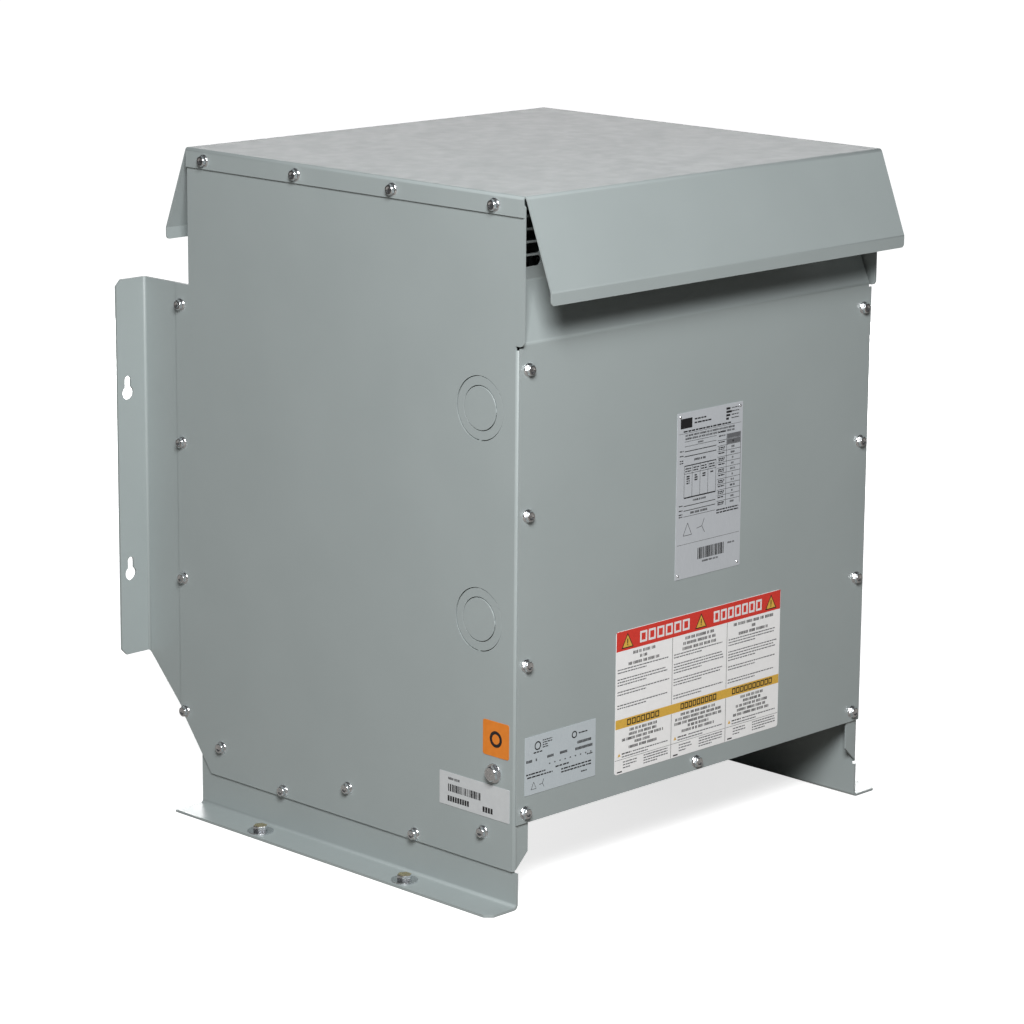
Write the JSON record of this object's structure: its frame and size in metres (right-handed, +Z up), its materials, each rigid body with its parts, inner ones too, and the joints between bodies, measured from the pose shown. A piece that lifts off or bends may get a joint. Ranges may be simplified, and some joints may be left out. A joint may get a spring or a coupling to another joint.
{
  "type": "ventilated dry-type distribution transformer",
  "caption": "Floor-standing dry-type transformer: vented sheet-metal case with drip hoods, feet, wall brackets, and a three-leg core and coils inside.",
  "frame": {"origin": "on the floor, at the middle of the rectangle of floor bolt holes", "axes": "+Z up; -Y out of the front cover with the nameplate; +Y towards the wall; +X to the right-hand side as seen from the front"},
  "size_m": [0.589, 0.5873, 0.692],
  "materials": {
    "case_paint": "satin light grey powder coat on sheet steel",
    "zinc": "zinc plated",
    "nameplate_foil": "satin printed foil",
    "warning_vinyl": "printed vinyl with coloured bands",
    "white_vinyl": "printed white vinyl",
    "orange_vinyl": "printed orange vinyl",
    "core_steel": "varnished laminated silicon steel",
    "clamp_paint": "dark painted steel",
    "winding_paper": "insulation board",
    "winding_varnish": "amber varnish over insulated turns",
    "glass_board": "glass polyester board",
    "pad_rubber": "black",
    "bus_copper": "bare copper, slightly tarnished",
    "sleeve": "black insulating sleeve"
  },
  "bodies": {
    "case": {"foot_rail_left": "case_paint", "foot_rail_right": "case_paint", "base_channels": "case_paint", "sill_front": "case_paint", "sill_rear": "case_paint", "side_panel_left": "case_paint", "side_panel_right": "case_paint", "knockout_rings": "case_paint", "knockout_discs": "case_paint", "rear_jamb_left": "case_paint", "rear_jamb_right": "case_paint", "hanger_rail_front": "case_paint", "hanger_rail_rear": "case_paint", "wall_bracket_left": "case_paint", "wall_bracket_right": "case_paint", "top_cover": "case_paint", "top_cover_screws": "zinc", "base_screws": "zinc", "bracket_screws": "zinc", "ground_bolt": "zinc", "ground_washer": "zinc", "ground_nut": "zinc", "serial_label": "white_vinyl", "ground_label": "orange_vinyl", "core_yoke_lower": "core_steel", "core_legs": "core_steel", "core_yoke_upper": "core_steel", "clamp_lower_front": "clamp_paint", "clamp_lower_rear": "clamp_paint", "clamp_upper_front": "clamp_paint", "clamp_upper_rear": "clamp_paint", "clamp_bolts": "zinc", "clamp_nuts": "zinc", "winding_tubes": "winding_paper", "lv_winding_left": "winding_varnish", "lv_winding_middle": "winding_varnish", "lv_winding_right": "winding_varnish", "duct_sticks": "glass_board", "hv_winding_left": "winding_varnish", "hv_winding_middle": "winding_varnish", "hv_winding_right": "winding_varnish", "isolation_pads": "pad_rubber", "support_bolts": "zinc", "support_nuts": "zinc", "lv_board": "glass_board", "board_arms": "clamp_paint", "lv_pads": "bus_copper", "lv_leads": "bus_copper", "hv_terminals": "bus_copper", "tap_links": "bus_copper", "delta_jumpers": "sleeve", "bond_strap": "bus_copper"},
    "front_cover": {"front_cover": "case_paint", "front_cover_screws": "zinc", "nameplate": "nameplate_foil", "nameplate_pins": "zinc", "warning_label": "warning_vinyl", "approval_label": "white_vinyl"},
    "rear_cover": {"rear_cover": "case_paint", "rear_cover_screws": "zinc"}
  },
  "joints": [
    {"name": "front_cover_swing", "type": "hinge", "parent": "case", "child": "front_cover", "pos_m": [0, -0.2088, 0.683], "axis": [-1, 0, 0], "range_deg": [0, 20]},
    {"name": "rear_cover_swing", "type": "hinge", "parent": "case", "child": "rear_cover", "pos_m": [0, 0.1988, 0.683], "axis": [1, 0, 0], "range_deg": [0, 20]}
  ]
}
